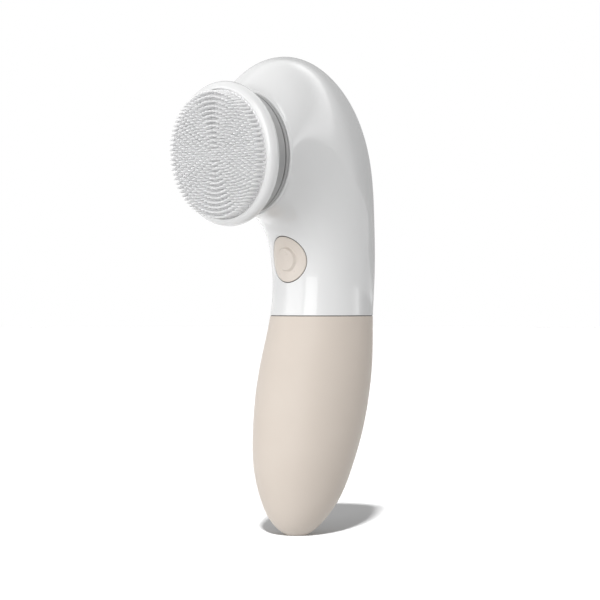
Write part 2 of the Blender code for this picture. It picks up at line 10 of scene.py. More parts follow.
import bmesh
import bpy
import numpy as np
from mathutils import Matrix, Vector

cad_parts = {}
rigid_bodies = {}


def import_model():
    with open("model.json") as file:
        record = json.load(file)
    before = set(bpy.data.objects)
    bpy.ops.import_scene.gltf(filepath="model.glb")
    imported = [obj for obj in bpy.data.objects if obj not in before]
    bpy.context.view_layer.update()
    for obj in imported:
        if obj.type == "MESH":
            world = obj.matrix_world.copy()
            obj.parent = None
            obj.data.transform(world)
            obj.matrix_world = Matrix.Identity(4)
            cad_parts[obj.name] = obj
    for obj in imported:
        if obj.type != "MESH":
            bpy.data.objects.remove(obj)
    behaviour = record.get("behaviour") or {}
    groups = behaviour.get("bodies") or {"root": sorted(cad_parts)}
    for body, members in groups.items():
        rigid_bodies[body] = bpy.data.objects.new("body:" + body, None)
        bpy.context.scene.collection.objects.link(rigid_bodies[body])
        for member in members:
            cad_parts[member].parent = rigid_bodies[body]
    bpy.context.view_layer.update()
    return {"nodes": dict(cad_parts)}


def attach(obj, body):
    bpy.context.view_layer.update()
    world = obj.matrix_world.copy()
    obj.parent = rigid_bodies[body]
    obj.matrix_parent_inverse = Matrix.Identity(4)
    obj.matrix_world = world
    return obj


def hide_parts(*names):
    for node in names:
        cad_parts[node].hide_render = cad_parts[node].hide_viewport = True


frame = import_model()

MM = 0.001

# ---- Body sections, as in the CAD ---------------------------------------------------------------
# Y and Z on the front line, Y and Z on the back line, half width.
BODY_SECTIONS = np.array((
    (-3.4, 0.0, 3.4, 0.0, 3.4),
    (-4.8, 0.7, 4.9, 0.7, 4.85),
    (-9.2, 5.0, 10.0, 5.0, 9.6),
    (-12.4, 12.5, 15.9, 12.5, 14.0),
    (-14.5, 23.3, 20.9, 23.3, 17.5),
    (-14.2, 36.0, 25.4, 36.0, 19.6),
    (-12.5, 50.0, 28.8, 50.0, 20.5),
    (-9.4, 64.0, 30.8, 64.0, 20.1),
    (-5.7, 78.8, 31.7, 78.8, 18.7),
    (-4.6, 88.0, 32.4, 88.6, 18.5),
    (-4.9, 97.2, 32.6, 100.0, 18.9),
    (-6.2, 104.4, 31.8, 113.0, 19.7),
    (-8.3, 108.4, 30.2, 127.3, 20.9),
    (-10.9, 111.0, 27.0, 142.1, 21.8),
    (-13.7, 112.4, 20.5, 155.8, 22.2),
    (-16.5, 113.2, 9.8, 166.4, 22.4),
    (-19.0, 113.6, -3.6, 171.4, 22.4),
    (-21.0, 114.0, -16.3, 168.7, 22.3),
    (-22.8, 114.2, -26.6, 158.4, 22.15),
))
SEAM_SECTION = 8
BOSS_SECTION = 18
WALL = 1.8
AROUND = 144
PER_SECTION = 10
SMOOTH_EDGE_DEG = 50.0
SKIN_SEARCH_END = 15
SKIN_SEARCH_STEPS = 26

# The seam between the shells and the boss in front. An offset in millimetres is divided by the
# SPAN values to give one in sections.
SEAM_GAP = 0.22
SEAM_EDGE = 0.14
SPAN_BELOW_SEAM = 12.0
SPAN_ABOVE_SEAM = 9.2
SPAN_AT_BOSS = 5.6
BOSS_RADIUS = 22.15
BOSS_EDGE = 0.7
BOSS_BORE_RADIUS = 20.35
BOSS_BORE_EDGE = 0.4
BOSS_EDGE_STEPS = 6
# Painted shadow: a near-black ring inside the seam's gap stands in for the shade in it.
SEAM_SHADOW_HALF_HEIGHT = 0.09
SEAM_SHADOW_OUTER_INSET = 0.25
SEAM_SHADOW_INNER_INSET = 1.3

# The rounded tip has finer rows than the sleeve, whose inside ends at a floor of its own.
TIP_ROW_STEP = 0.125
TIP_ROWS_END = 3.0
SLEEVE_ROWS = 60
SLEEVE_FLOOR_SECTION = 2.0
SLEEVE_INNER_ROWS = 48
FOOT_RING_SHARES = (0.25, 0.5, 0.75, 0.92)

# The button, its hole and the patch of the housing's grid that follows the hole.
BUTTON_Z = 99.0
BUTTON_RADIUS = 8.1
BUTTON_THICKNESS = 2.0
BUTTON_EDGE = 0.16
BUTTON_SEGMENTS = 96
DOME_RADIUS = 4.45
DOME_HEIGHT = 0.9
DOME_SHOULDER = 0.75
DOME_CROWN = 0.2
GROOVE_RADIUS = 4.6
GROOVE_DEPTH = 0.18
GROOVE_HALF_WIDTH = 0.35
STEM_RADIUS = 2.0
HOLE_RADIUS = 8.4
HOLE_EDGE = 0.3
HOLE_OUTER_ROUNDING = ((0.3, 0.0), (0.15, 0.03), (0.06, 0.09), (0.0, 0.22))
HOLE_INNER_ROUNDING = ((0.15, 0.0), (0.0, 0.0))
PATCH_SHARES = (0.2, 0.4, 0.58, 0.74, 0.87, 0.95)
PATCH_HALF_COLUMNS = 14
PATCH_LOW_ROW = 12
PATCH_HIGH_SECTION = 13.0
# Painted shadow: a near-black ring in the gap round the button stands in for the shade in it.
BUTTON_GAP_SHADOW_OUTLINE = ((8.38, 0.4), (8.12, 0.4), (8.12, 1.6), (8.38, 1.6))

BRISTLE_RINGS = 13
BRISTLE_PITCH = 1.68
BRISTLE_BASE = 12.6
BRISTLE_TIP = 17.15
BRISTLES_PER_RING = 6
BRISTLE_RADIUS = 0.68
BRISTLE_SIDES = 7
BRISTLE_TAPER = (
    (0.0, 1.0), (0.1, 0.9), (0.45, 0.78), (0.72, 0.66), (0.87, 0.5), (0.95, 0.32), (0.985, 0.16))
BRISTLE_TURN = math.pi / 6
BRISTLE_LEAN = 0.05
BRISTLE_SHORTEST = 0.97
BRISTLE_ROOT_SINK = 0.02
BRISTLE_SEED = 7
# Painted shade at the bristles' roots and a painted highlight at their tips, set in the bristle
# colour.
BRISTLE_PAINTED_ROOT_SHADE = (0.80, 0.80, 0.805)
BRISTLE_PAINTED_TIP_LIGHT = (0.99, 0.99, 0.99)

# Metres from the boss plane where the painted root shade turns to the painted tip highlight.
BRISTLE_PAINTED_LIGHT_FROM = 0.0158
BRISTLE_PAINTED_LIGHT_TO = 0.0166

SILICONE_SCATTER = (0.003, 0.003, 0.003)

# The part of a noise texture's range that the finishes use.
NOISE_LOW = 0.3
NOISE_HIGH = 0.7

# The camera's places in metres, and its sensor's width in millimetres.
CAMERA_DISTANCE = 0.8
CAMERA_HEIGHT = 0.08445
CAMERA_SIDE_STEP = 0.00133
CAMERA_TURN_DEG = 45.0
SENSOR_WIDTH = 36.0
VIEW_WIDTH = 0.216

# Strength of the room's light and of the bright areas that the gloss mirrors. Each area starts and
# ends over a range of cosines from its own direction.
LIGHT_BELOW = 0.37
LIGHT_ABOVE = 0.57
SHEEN_BACK = 0.76
SHEEN_UP = 0.65
FRONT_SHEEN = 1.0
FRONT_SHEEN_START = (-0.2, 0.06)
LEFT_SHEEN = 0.5
LEFT_SHEEN_END = (-0.35, 0.05)
EDGE_SHEEN = 1.6
EDGE_SHEEN_START = (-0.01, 0.07)
EDGE_SHEEN_END = (0.07, 0.35)
EDGE_SHEEN_SIDE = (0.0, 0.4)

# Soft boxes: azimuth and elevation in degrees, distance, width, height, radiance.
PANEL_LEFT = (-27.0, 22.0, 1.15, 0.58, 1.1, 2.65)
WASH_FAR_LEFT = (-70.0, 5.0, 1.3, 1.0, 1.1, 1.2)
FILL_LOW_FRONT = (-10.0, -45.0, 1.2, 1.0, 0.8, 1.1)
FILL_BEHIND_RIGHT = (95.0, 40.0, 1.3, 1.0, 0.8, 0.35)
HEAD_KEY = (-60.0, 35.0, 1.3, 1.0, 1.1, 2.2)
PANEL_TARGET_HEIGHT = 0.09
FLOOR_RADIUS = 6.0
FLOOR_SINK = 0.0001
FLOOR_TONE = (0.45, 0.45, 0.45, 1.0)
SUN_STRENGTH = 9.5
SUN_ANGLE_DEG = 4.0
SUN_BACK = 1.25
SUN_LEFT = 0.08
WHITE = (1.0, 1.0, 1.0, 1.0)


# ---- Section curves -----------------------------------------------------------------------------

def chord_stations():
    """Distance along the body at each section, the mean of its front and back lines."""
    steps = np.diff(BODY_SECTIONS, axis=0)
    front = np.hypot(steps[:, 0], steps[:, 1])
    back = np.hypot(steps[:, 2], steps[:, 3])
    return np.concatenate(((0.0,), np.cumsum((front + back) / 2)))


def curve_bends(stations, values):
    """Second derivatives of the natural cubic spline, so that gloss runs without a break."""
    count = len(stations)
    system = np.eye(count)
    known = np.zeros(values.shape)
    for i in range(1, count - 1):
        before = stations[i] - stations[i - 1]
        after = stations[i + 1] - stations[i]
        system[i, i - 1] = before / 6
        system[i, i] = (before + after) / 3
        system[i, i + 1] = after / 6
        known[i] = (values[i + 1] - values[i]) / after - (values[i] - values[i - 1]) / before
    return np.linalg.solve(system, known)


STATIONS = chord_stations()
BENDS = curve_bends(STATIONS, BODY_SECTIONS)


def section_values(t):
    """The five section values at t, where whole numbers are the listed sections."""
    s = float(np.interp(t, range(len(STATIONS)), STATIONS))
    i = min(int(np.searchsorted(STATIONS, s, side="right")) - 1, len(STATIONS) - 2)
    step = STATIONS[i + 1] - STATIONS[i]
    b = (s - STATIONS[i]) / step
    a = 1.0 - b
    return (
        a * BODY_SECTIONS[i] + b * BODY_SECTIONS[i + 1]
        + ((a ** 3 - a) * BENDS[i] + (b ** 3 - b) * BENDS[i + 1]) * step ** 2 / 6)


def section_ellipse(t, inset=0.0):
    """Centre, half length vector in the YZ plane and half width of the section at t."""
    front_y, front_z, back_y, back_z, half_width = (float(v) for v in section_values(t))
    centre = Vector((0.0, (front_y + back_y) / 2, (front_z + back_z) / 2))
    reach = Vector((0.0, (back_y - front_y) / 2, (back_z - front_z) / 2))
    reach -= reach.normalized() * inset
    return centre, reach, half_width - inset


def section_points(t, inset=0.0):
    """Points round the section at t, from the front line."""
    centre, reach, half_width = section_ellipse(t, inset)
    points = []
    for i in range(AROUND):
        angle = 2.0 * math.pi * i / AROUND
        side = Vector((half_width * math.sin(angle), 0.0, 0.0))
        points.append(centre + side - reach * math.cos(angle))
    return points


def skin_y(x, z, inset=0.0):
    """Y of the housing's front surface near the button."""
    low = SEAM_SECTION
    high = SKIN_SEARCH_END
    for _ in range(SKIN_SEARCH_STEPS):
        t = (low + high) / 2
        centre, reach, half_width = section_ellipse(t, inset)
        cosine = math.sqrt(1.0 - (x / half_width) ** 2)
        if centre.z - reach.z * cosine < z:
            low = t
        else:
            high = t
    return centre.y - reach.y * cosine


# ---- The brush head's own frame -----------------------------------------------------------------
# x across, y up, h outward from the boss plane.

BOSS = BODY_SECTIONS[BOSS_SECTION]
HEAD_CENTRE = Vector((0.0, (BOSS[0] + BOSS[2]) / 2, (BOSS[1] + BOSS[3]) / 2))
HEAD_UP = Vector((0.0, BOSS[2] - BOSS[0], BOSS[3] - BOSS[1])).normalized()
HEAD_OUT = Vector((0.0, -HEAD_UP.z, HEAD_UP.y))


def head_point(x, y, h):
    """A spot in the head's own frame, in millimetres of the whole part."""
    return HEAD_CENTRE + Vector((x, 0.0, 0.0)) + HEAD_UP * y + HEAD_OUT * h


# ---- Mesh helpers -------------------------------------------------------------------------------

def new_object(name, builder, finish, sharp_deg=40.0):
    """Make an object from a bmesh in millimetres, with outward faces and smooth shading."""
    bmesh.ops.recalc_face_normals(builder, faces=builder.faces[:])
    bmesh.ops.scale(builder, vec=(MM, MM, MM), verts=builder.verts[:])
    mesh = bpy.data.meshes.new(name)
    builder.to_mesh(mesh)
    builder.free()
    mesh.shade_smooth()
    mesh.set_sharp_from_angle(angle=math.radians(sharp_deg))
    mesh.materials.append(finish)
    made = bpy.data.objects.new(name, mesh)
    bpy.context.collection.objects.link(made)
    return made


def add_ring(builder, points):
    return [builder.verts.new(p) for p in points]


def join_rings(builder, rings, closed=False):
    """Faces between each ring and the next. A ring of one point is a pole."""
    pairs = list(zip(rings, rings[1:]))
    if closed:
        pairs.append((rings[-1], rings[0]))
    for low, high in pairs:
        count = max(len(low), len(high))
        for i in range(count):
            j = (i + 1) % count
            if len(low) == 1:
                builder.faces.new((low[0], high[i], high[j]))
            elif len(high) == 1:
                builder.faces.new((low[i], low[j], high[0]))
            else:
                builder.faces.new((low[i], low[j], high[j], high[i]))


def arc(centre_r, centre_h, radius, start_deg, end_deg, steps):
    """Part of a circle in an outline of (radius, h) points."""
    points = []
    for i in range(steps + 1):
        angle = math.radians(start_deg + (end_deg - start_deg) * i / steps)
        points.append((centre_r + radius * math.cos(angle), centre_h + radius * math.sin(angle)))
    return points


def soft_curve(points, steps=6):
    """Points of a smooth curve through a short open outline."""
    values = np.array(points, dtype=float)
    padded = np.vstack((2 * values[0] - values[1], values, 2 * values[-1] - values[-2]))
    result = []
    for i in range(len(values) - 1):
        for k in range(steps):
            f = k / steps
            a, b, c, d = padded[i:i + 4]
            bend = 2 * a - 5 * b + 4 * c - d
            twist = 3 * b - a - 3 * c + d
            result.append(tuple(0.5 * (2 * b + (c - a) * f + bend * f ** 2 + twist * f ** 3)))
    result.append(tuple(values[-1]))
    return result


def turned_in_head(name, profile, finish, segments=160):
    """Revolve a closed (radius, h) outline, or one ending in two poles, about the spindle."""
    builder = bmesh.new()
    rings = []
    for radius, h in profile:
        count = 1 if radius == 0.0 else segments
        ring = []
        for i in range(count):
            angle = 2.0 * math.pi * i / segments
            spot = head_point(radius * math.cos(angle), radius * math.sin(angle), h)
            ring.append(builder.verts.new(spot))
        rings.append(ring)
    join_rings(builder, rings, closed=profile[0][0] != 0.0)
    return new_object(name, builder, finish)


# ---- Materials ----------------------------------------------------------------------------------

class Finish:
    """A Principled material whose colour, roughness and bump come from procedural nodes."""

    def __init__(self, name, colour, roughness, metallic=0.0):
        self.material = bpy.data.materials.new(name)
        self.material.use_nodes = True
        self.nodes = self.material.node_tree.nodes
        self.links = self.material.node_tree.links
        self.shader = self.nodes["Principled BSDF"]
        self.colour = colour
        self.shader.inputs["Base Color"].default_value = (*colour, 1.0)
        self.shader.inputs["Roughness"].default_value = roughness
        self.shader.inputs["Metallic"].default_value = metallic
        self.place = self.nodes.new("ShaderNodeTexCoord")

    def set(self, **values):
        """Values on the shader's own sockets, named with underscores for spaces."""
        for key, value in values.items():
            self.shader.inputs[key.replace("_", " ")].default_value = value

    def noise(self, scale, detail, stretch=None):
        """Noise over the object's own space, squeezed where a stretch is given."""
        texture = self.nodes.new("ShaderNodeTexNoise")
        texture.inputs["Scale"].default_value = scale
        texture.inputs["Detail"].default_value = detail
        source = self.place.outputs["Object"]
        if stretch:
            mapping = self.nodes.new("ShaderNodeMapping")
            mapping.inputs["Scale"].default_value = stretch
            self.links.new(source, mapping.inputs["Vector"])
            source = mapping.outputs["Vector"]
        self.links.new(source, texture.inputs["Vector"])
        return texture.outputs["Fac"]

    def distance(self, origin, direction):
        """Metres from the origin along a direction, in the object's own space."""
        shift = self.nodes.new("ShaderNodeVectorMath")
        shift.operation = "SUBTRACT"
        shift.inputs[1].default_value = origin
        self.links.new(self.place.outputs["Object"], shift.inputs[0])
        along = self.nodes.new("ShaderNodeVectorMath")
        along.operation = "DOT_PRODUCT"
        along.inputs[1].default_value = direction
        self.links.new(shift.outputs["Vector"], along.inputs[0])
        return along.outputs["Value"]

    def tint(self, source, other, low_at=NOISE_LOW, high_at=NOISE_HIGH):
        """Colour drifts between the base colour and another one."""
        ramp = self.nodes.new("ShaderNodeValToRGB")
        ramp.color_ramp.elements[0].position = low_at
        ramp.color_ramp.elements[0].color = (*self.colour, 1.0)
        ramp.color_ramp.elements[1].position = high_at
        ramp.color_ramp.elements[1].color = (*other, 1.0)
        self.links.new(source, ramp.inputs["Fac"])
        self.links.new(ramp.outputs["Color"], self.shader.inputs["Base Color"])

    def gloss(self, source, low, high):
        """Roughness drifts between two values."""
        ranged = self.nodes.new("ShaderNodeMapRange")
        ranged.inputs["From Min"].default_value = NOISE_LOW
        ranged.inputs["From Max"].default_value = NOISE_HIGH
        ranged.inputs["To Min"].default_value = low
        ranged.inputs["To Max"].default_value = high
        self.links.new(source, ranged.inputs["Value"])
        self.links.new(ranged.outputs["Result"], self.shader.inputs["Roughness"])

    def bump(self, source, depth, strength):
        """Relief of the given depth in metres."""
        node = self.nodes.new("ShaderNodeBump")
        node.inputs["Distance"].default_value = depth
        node.inputs["Strength"].default_value = strength
        self.links.new(source, node.inputs["Height"])
        self.links.new(node.outputs["Normal"], self.shader.inputs["Normal"])


def white_gloss(name):
    """Bright moulded ABS: faint flow tone, a polished skin and the least orange peel."""
    f = Finish(name, (0.775, 0.778, 0.778), 0.3)
    f.tint(f.noise(30.0, 1.0), (0.782, 0.784, 0.783))
    f.gloss(f.noise(240.0, 4.0), 0.30, 0.34)
    f.bump(f.noise(300.0, 1.0), 0.000004, 0.15)
    f.set(Coat_Weight=1.0, Coat_Roughness=0.03, IOR=1.45)
    return f.material


def soft_touch(name):
    """Warm beige satin coat with a very fine grain."""
    f = Finish(name, (0.705, 0.628, 0.556), 0.45)
    f.tint(f.noise(70.0, 3.0), (0.72, 0.643, 0.571))
    f.gloss(f.noise(320.0, 4.0), 0.41, 0.5)
    f.bump(f.noise(5200.0, 2.0), 0.00002, 0.35)
    f.set(Specular_IOR_Level=0.35, IOR=1.45)
    return f.material


def button_finish(name):
    """Beige satin plastic, a little smoother and lighter than the sleeve."""
    f = Finish(name, (0.735, 0.662, 0.593), 0.3)
    f.tint(f.noise(90.0, 3.0), (0.755, 0.684, 0.616))
    f.gloss(f.noise(420.0, 3.0), 0.27, 0.34)
    f.bump(f.noise(3600.0, 2.0), 0.00001, 0.3)
    return f.material


def bristle_silicone(name):
    """Translucent silicone with painted shade at the roots, where the bristles crowd, and a painted
    highlight at the tips.
    """
    f = Finish(name, BRISTLE_PAINTED_ROOT_SHADE, 0.2)
    height = f.distance(HEAD_CENTRE * MM, HEAD_OUT)
    f.tint(height, BRISTLE_PAINTED_TIP_LIGHT, BRISTLE_PAINTED_LIGHT_FROM, BRISTLE_PAINTED_LIGHT_TO)
    f.gloss(f.noise(500.0, 3.0), 0.16, 0.24)
    f.bump(f.noise(2600.0, 2.0), 0.00001, 0.3)
    f.set(Subsurface_Weight=0.35, Subsurface_Radius=SILICONE_SCATTER, Subsurface_Scale=0.6)
    f.set(Coat_Weight=1.0, Coat_Roughness=0.12, IOR=1.5)
    return f.material


def silicone(name, colour, cloud):
    """Soft clouded silicone sheet."""
    f = Finish(name, colour, 0.38)
    f.tint(f.noise(160.0, 2.0), cloud)
    f.gloss(f.noise(500.0, 3.0), 0.32, 0.45)
    f.bump(f.noise(2600.0, 2.0), 0.00001, 0.3)
    f.set(Subsurface_Weight=0.08, Subsurface_Radius=SILICONE_SCATTER, Subsurface_Scale=0.6)
    f.set(IOR=1.41)
    return f.material


def moulded(name, colour, other, roughness=0.45, grain=900.0):
    """Plain moulded plastic or rubber with a faint grain."""
    f = Finish(name, colour, roughness)
    f.tint(f.noise(120.0, 3.0), other)
    f.gloss(f.noise(300.0, 4.0), roughness - 0.07, roughness + 0.07)
    f.bump(f.noise(grain, 3.0), 0.00002, 0.4)
    return f.material


def metal(name, colour, other, roughness=0.3):
    """Drawn or turned metal: fine lines one way, stains the other."""
    lines_across = (1.0, 1.0, 14.0)
    f = Finish(name, colour, roughness, 1.0)
    f.tint(f.noise(90.0, 4.0), other)
    f.gloss(f.noise(260.0, 4.0, lines_across), roughness - 0.08, roughness + 0.12)
    f.bump(f.noise(1500.0, 3.0, lines_across), 0.00001, 0.3)
    return f.material


# ---- Outer shells -------------------------------------------------------------------------------

def lip(t, radius, plane_shift, steps=5):
    """Rings that round a shell's free edge from its outer skin to its inner skin."""
    rings = []
    reach = section_ellipse(t)[1]
    normal = Vector((0.0, -reach.z, reach.y)).normalized() * plane_shift
    for start, end, edge in ((0.0, 90.0, radius), (90.0, 180.0, WALL - radius)):
        for i in range(steps + 1):
            angle = math.radians(start + (end - start) * i / steps)
            inset = edge - radius * math.cos(angle)
            shift = normal * (radius * math.sin(angle))
            rings.append([p + shift for p in section_points(t, inset)])
    return rings


def make_housing(finish):
    """The white gooseneck shell. Round the button its grid turns into rings round the hole."""
    builder = bmesh.new()
    rows = PER_SECTION * (BOSS_SECTION - SEAM_SECTION)
    seam_t = SEAM_SECTION + (SEAM_GAP / 2 + SEAM_EDGE) / SPAN_ABOVE_SEAM
    boss_t = BOSS_SECTION - BOSS_EDGE / SPAN_AT_BOSS
    stations = [seam_t + (boss_t - seam_t) * i / rows for i in range(rows + 1)]
    outer = [add_ring(builder, section_points(t)) for t in stations]
    inner = [add_ring(builder, section_points(t, WALL)) for t in stations]
    seam_lip = [add_ring(builder, r) for r in lip(seam_t, SEAM_EDGE, -1.0)]
    front_lip = []
    outer_round = (0.0, 90.0, BOSS_RADIUS - BOSS_EDGE, BOSS_EDGE)
    inner_round = (90.0, 180.0, BOSS_BORE_RADIUS + BOSS_BORE_EDGE, BOSS_BORE_EDGE)
    for start, end, middle, radius in (outer_round, inner_round):
        for i in range(BOSS_EDGE_STEPS + 1):
            angle = math.radians(start + (end - start) * i / BOSS_EDGE_STEPS)
            r = middle + radius * math.cos(angle)
            h = -radius + radius * math.sin(angle)
            ring = []
            for k in range(AROUND):
                turn = 2.0 * math.pi * k / AROUND
                spot = head_point(r * math.sin(turn), -r * math.cos(turn), h)
                ring.append(builder.verts.new(spot))
            front_lip.append(ring)

    patch_high_row = int(round((PATCH_HIGH_SECTION - seam_t) / (boss_t - seam_t) * rows))

    def inside_patch(row, column):
        near = min(column, AROUND - 1 - column) < PATCH_HALF_COLUMNS
        return near and PATCH_LOW_ROW <= row < patch_high_row

    for grid in (outer, inner):
        for row in range(rows):
            for column in range(AROUND):
                if not inside_patch(row, column):
                    after = (column + 1) % AROUND
                    builder.faces.new((grid[row][column], grid[row][after],
                                       grid[row + 1][after], grid[row + 1][column]))
    join_rings(builder, [outer[-1]] + front_lip + [inner[-1]])
    join_rings(builder, [inner[0]] + seam_lip[::-1] + [outer[0]])

    def patch_border(grid):
        columns = list(range(-PATCH_HALF_COLUMNS, PATCH_HALF_COLUMNS + 1))
        upward = range(PATCH_LOW_ROW + 1, patch_high_row + 1)
        downward = range(patch_high_row - 1, PATCH_LOW_ROW, -1)
        border = [grid[PATCH_LOW_ROW][c % AROUND] for c in columns]
        border += [grid[r][PATCH_HALF_COLUMNS] for r in upward]
        border += [grid[patch_high_row][c % AROUND] for c in columns[-2::-1]]
        border += [grid[r][-PATCH_HALF_COLUMNS % AROUND] for r in downward]
        return border

    def hole_rings(grid, inset, depths):
        border = patch_border(grid)
        rings = [border]
        spots = [(v.co.x, v.co.z, math.atan2(v.co.z - BUTTON_Z, v.co.x)) for v in border]
        for share in PATCH_SHARES:
            ring = []
            for x, z, angle in spots:
                rim_x = (HOLE_RADIUS + HOLE_EDGE) * math.cos(angle)
                rim_z = BUTTON_Z + (HOLE_RADIUS + HOLE_EDGE) * math.sin(angle)
                px = x + (rim_x - x) * share
                pz = z + (rim_z - z) * share
                ring.append(builder.verts.new((px, skin_y(px, pz, inset), pz)))
            rings.append(ring)
        for widen, depth in depths:
            ring = []
            for _, _, angle in spots:
                px = (HOLE_RADIUS + widen) * math.cos(angle)
                pz = BUTTON_Z + (HOLE_RADIUS + widen) * math.sin(angle)
                ring.append(builder.verts.new((px, skin_y(px, pz, inset) + depth, pz)))
            rings.append(ring)
        join_rings(builder, rings)
        return rings[-1]

    rim_outside = hole_rings(outer, 0.0, HOLE_OUTER_ROUNDING)
    rim_inside = hole_rings(inner, WALL, HOLE_INNER_ROUNDING)
    join_rings(builder, [rim_outside, rim_inside])
    made = new_object("housing_shell", builder, finish, SMOOTH_EDGE_DEG)
    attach(made, "housing")
    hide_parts("upper_housing")


def make_cover(finish):
    """The beige sleeve, closed at the tip by its flat foot."""
    builder = bmesh.new()
    seam_t = SEAM_SECTION - (SEAM_GAP / 2 + SEAM_EDGE) / SPAN_BELOW_SEAM
    tip_rows = int(TIP_ROWS_END / TIP_ROW_STEP)
    stations = [TIP_ROW_STEP * i for i in range(tip_rows)]
    sleeve_span = seam_t - TIP_ROWS_END
    stations += [TIP_ROWS_END + sleeve_span * i / SLEEVE_ROWS for i in range(SLEEVE_ROWS + 1)]
    inside_span = seam_t - SLEEVE_FLOOR_SECTION
    inner_stations = [SLEEVE_FLOOR_SECTION + inside_span * i / SLEEVE_INNER_ROWS
                      for i in range(SLEEVE_INNER_ROWS + 1)]
    outer = [add_ring(builder, section_points(t)) for t in stations]
    inner = [add_ring(builder, section_points(t, WALL)) for t in inner_stations]
    seam_lip = [add_ring(builder, r) for r in lip(seam_t, SEAM_EDGE, 1.0)]
    foot_edge = section_points(0.0)
    foot = [add_ring(builder, [p * share for p in foot_edge]) for share in FOOT_RING_SHARES]
    foot_middle = [builder.verts.new((0.0, 0.0, 0.0))]
    floor_middle = [builder.verts.new(section_ellipse(SLEEVE_FLOOR_SECTION)[0])]
    join_rings(builder, [foot_middle] + foot + outer + seam_lip + inner[::-1] + [floor_middle])
    made = new_object("cover_shell", builder, finish, SMOOTH_EDGE_DEG)
    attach(made, "cover")
    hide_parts("battery_cover")


def make_seam_gap_shadow(finish):
    """A dark ring in the housing's lower edge: painted shadow inside the gap, seen as the line
    between the shells.
    """
    builder = bmesh.new()
    low = SEAM_SECTION - SEAM_SHADOW_HALF_HEIGHT / SPAN_BELOW_SEAM
    high = SEAM_SECTION + SEAM_SHADOW_HALF_HEIGHT / SPAN_ABOVE_SEAM
    corners = ((low, SEAM_SHADOW_OUTER_INSET), (high, SEAM_SHADOW_OUTER_INSET),
               (high, SEAM_SHADOW_INNER_INSET), (low, SEAM_SHADOW_INNER_INSET))
    rings = [add_ring(builder, section_points(t, inset)) for t, inset in corners]
    join_rings(builder, rings, closed=True)
    made = new_object("seam_gasket", builder, finish, SMOOTH_EDGE_DEG)
    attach(made, "housing")


def make_button(finish):
    """The round plate with its low dome: a soft rise in front, a rounded rim and a stem behind."""
    builder = bmesh.new()

    def face_relief(radius):
        """How far the front face lies behind the housing's skin; the dome stands before it."""
        share = min(1.0, max(0.0, (DOME_RADIUS - radius) / DOME_SHOULDER))
        crown = 1.0 - DOME_CROWN * (radius / DOME_RADIUS) ** 2
        rise = DOME_HEIGHT * crown * share * share * (3.0 - 2.0 * share)
        from_groove = abs(radius - GROOVE_RADIUS) / GROOVE_HALF_WIDTH
        return GROOVE_DEPTH * max(0.0, 1.0 - from_groove) - rise

    def ring(radius, depth=None, flat_y=None):
        points = []
        for i in range(BUTTON_SEGMENTS):
            angle = 2.0 * math.pi * i / BUTTON_SEGMENTS
            x = radius * math.cos(angle)
            z = BUTTON_Z + radius * math.sin(angle)
            if flat_y is not None:
                y = flat_y
            else:
                y = skin_y(x, z) + (depth if depth else face_relief(radius))
            points.append((x, y, z))
        return add_ring(builder, points)

    nose = [builder.verts.new((0.0, skin_y(0.0, BUTTON_Z) - DOME_HEIGHT, BUTTON_Z))]
    heel = [builder.verts.new((0.0, 0.0, BUTTON_Z))]
    dome_radii = [0.4 * i for i in range(1, 9)]
    shoulder_radii = [3.35 + 0.1 * i for i in range(13)]
    plate_radii = [4.9 + 0.5 * i for i in range(6)] + [BUTTON_RADIUS - BUTTON_EDGE]
    rings = [nose]
    rings += [ring(radius) for radius in dome_radii + shoulder_radii + plate_radii]
    rings += [ring(BUTTON_RADIUS - 0.05, 0.05), ring(BUTTON_RADIUS, BUTTON_EDGE)]
    rings += [ring(BUTTON_RADIUS, BUTTON_THICKNESS), ring(STEM_RADIUS, BUTTON_THICKNESS)]
    rings += [ring(STEM_RADIUS, flat_y=0.0), heel]
    join_rings(builder, rings)
    made = new_object("button_cap", builder, finish, SMOOTH_EDGE_DEG)
    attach(made, "button")
    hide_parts("power_button")


def make_button_gap_shadow(finish):
    """A dark ring that fills the gap between the plate and its hole: painted shadow inside the gap.
    """
    builder = bmesh.new()
    rings = []
    for radius, depth in BUTTON_GAP_SHADOW_OUTLINE:
        ring = []
        for i in range(BUTTON_SEGMENTS):
            angle = 2.0 * math.pi * i / BUTTON_SEGMENTS
            x = radius * math.cos(angle)
            z = BUTTON_Z + radius * math.sin(angle)
            ring.append(builder.verts.new((x, skin_y(x, z) + depth, z)))
        rings.append(ring)
    join_rings(builder, rings, closed=True)
    made = new_object("button_seal", builder, finish, SMOOTH_EDGE_DEG)
    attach(made, "housing")


# ---- Brush head ---------------------------------------------------------------------------------

def make_collar(finish):
    """The fixed ring on the boss."""
    outline = arc(21.35, 0.65, 0.35, -90.0, 0.0, 5) + arc(21.35, 1.25, 0.35, 0.0, 90.0, 5)
    outline += [(15.5, 1.6), (15.5, 0.3)]
    made = turned_in_head("collar_trim", outline, finish)
    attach(made, "housing")
    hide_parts("collar_ring")


def make_rim(finish):
    """The turning cup: a straight skirt, a full round lip and a seat for the bristle disc."""
    flare = soft_curve([(21.85, 5.5), (22.25, 6.3), (23.4, 7.3), (24.7, 8.15), (25.3, 9.2)])
    lip_front = soft_curve([(25.38, 9.9), (25.2, 10.9), (24.6, 11.9), (23.7, 12.5), (22.95, 12.6)])
    inside = [(22.72, 12.5), (22.7, 11.0), (20.9, 11.0), (20.9, 9.0), (20.2, 7.0)]
    socket = [(20.2, 2.1), (20.9, 2.1), (20.9, 5.5)]
    made = turned_in_head("brush_rim", flare + lip_front + inside + socket, finish, 192)
    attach(made, "brush_head")
    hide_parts("brush_cup")


def make_skirt(finish):
    """The turning band behind the cup."""
    outline = arc(21.4, 2.4, 0.3, -90.0, 0.0, 5) + [(21.75, 4.0), (21.8, 5.2)]
    outline += arc(21.65, 5.25, 0.15, 0.0, 90.0, 4) + [(21.0, 5.4), (21.0, 2.1)]
    made = turned_in_head("brush_skirt", outline, finish)
    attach(made, "brush_head")
    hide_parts("skirt_ring")


